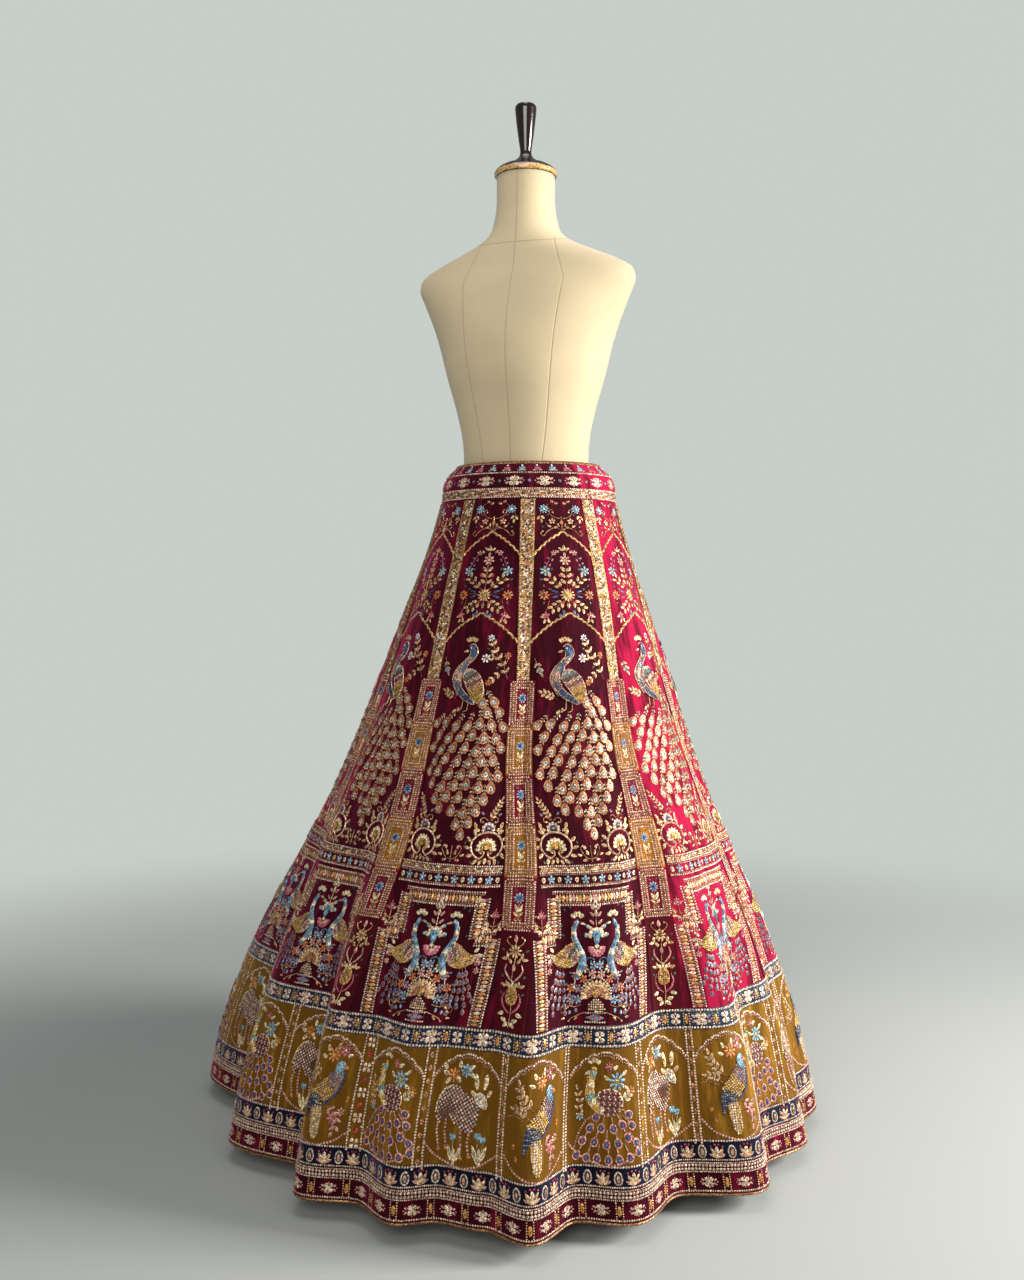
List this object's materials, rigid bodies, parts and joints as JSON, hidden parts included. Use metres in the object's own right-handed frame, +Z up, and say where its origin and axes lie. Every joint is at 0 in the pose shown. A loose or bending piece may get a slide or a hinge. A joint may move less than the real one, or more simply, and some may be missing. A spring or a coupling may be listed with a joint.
{
  "type": "lehenga skirt on a limbless dress form",
  "caption": "Flared panelled velvet lehenga skirt with embroidered borders, hanging in folds from its waistband round a limbless padded dress form on a round base.",
  "frame": {"origin": "centre of the flat underside of the stand's round base, on the floor", "axes": "+Z up along the pole; -Y is the front of the skirt and form; +X is the viewer's right of someone who faces the front"},
  "size_m": [1.0259, 0.9743, 1.684],
  "materials": {
    "maroon_velvet": "crushed silk velvet, deep maroon with a crimson sheen",
    "crimson_velvet": "brighter crimson velvet ground of the laid-on tiles",
    "mustard_velvet": "golden brown velvet",
    "blue_velvet": "deep slate blue velvet",
    "navy_velvet": "navy velvet",
    "gold_work": "gold thread, beads and sequins with coloured silk",
    "calico": "close woven cream calico over padding",
    "dark_wood": "polished dark stained wood",
    "painted_steel": "black painted steel"
  },
  "bodies": {
    "root": {"waistband": "maroon_velvet", "kali_01": "maroon_velvet", "kali_02": "maroon_velvet", "kali_03": "maroon_velvet", "kali_04": "maroon_velvet", "kali_05": "maroon_velvet", "kali_06": "maroon_velvet", "kali_07": "maroon_velvet", "kali_08": "maroon_velvet", "kali_09": "maroon_velvet", "kali_10": "maroon_velvet", "seam_strip_01": "gold_work", "seam_strip_02": "gold_work", "seam_strip_03": "gold_work", "seam_strip_04": "gold_work", "seam_strip_05": "gold_work", "seam_strip_06": "gold_work", "seam_strip_07": "gold_work", "seam_strip_08": "gold_work", "seam_strip_09": "gold_work", "seam_strip_10": "gold_work", "tile_column_01": "crimson_velvet", "tile_column_02": "crimson_velvet", "tile_column_03": "crimson_velvet", "tile_column_04": "crimson_velvet", "tile_column_05": "crimson_velvet", "tile_column_06": "crimson_velvet", "tile_column_07": "crimson_velvet", "tile_column_08": "crimson_velvet", "tile_column_09": "crimson_velvet", "tile_column_10": "crimson_velvet", "middle_border_01": "maroon_velvet", "middle_border_02": "maroon_velvet", "middle_border_03": "maroon_velvet", "middle_border_04": "maroon_velvet", "middle_border_05": "maroon_velvet", "middle_border_06": "maroon_velvet", "middle_border_07": "maroon_velvet", "middle_border_08": "maroon_velvet", "middle_border_09": "maroon_velvet", "middle_border_10": "maroon_velvet", "blue_border": "blue_velvet", "mustard_border": "mustard_velvet", "navy_band": "navy_velvet", "hem_band": "maroon_velvet", "hem_piping": "gold_work", "form_torso": "calico", "form_neck_cap": "dark_wood", "form_finial": "dark_wood", "form_pole": "painted_steel", "form_base": "painted_steel"}
  },
  "joints": []
}
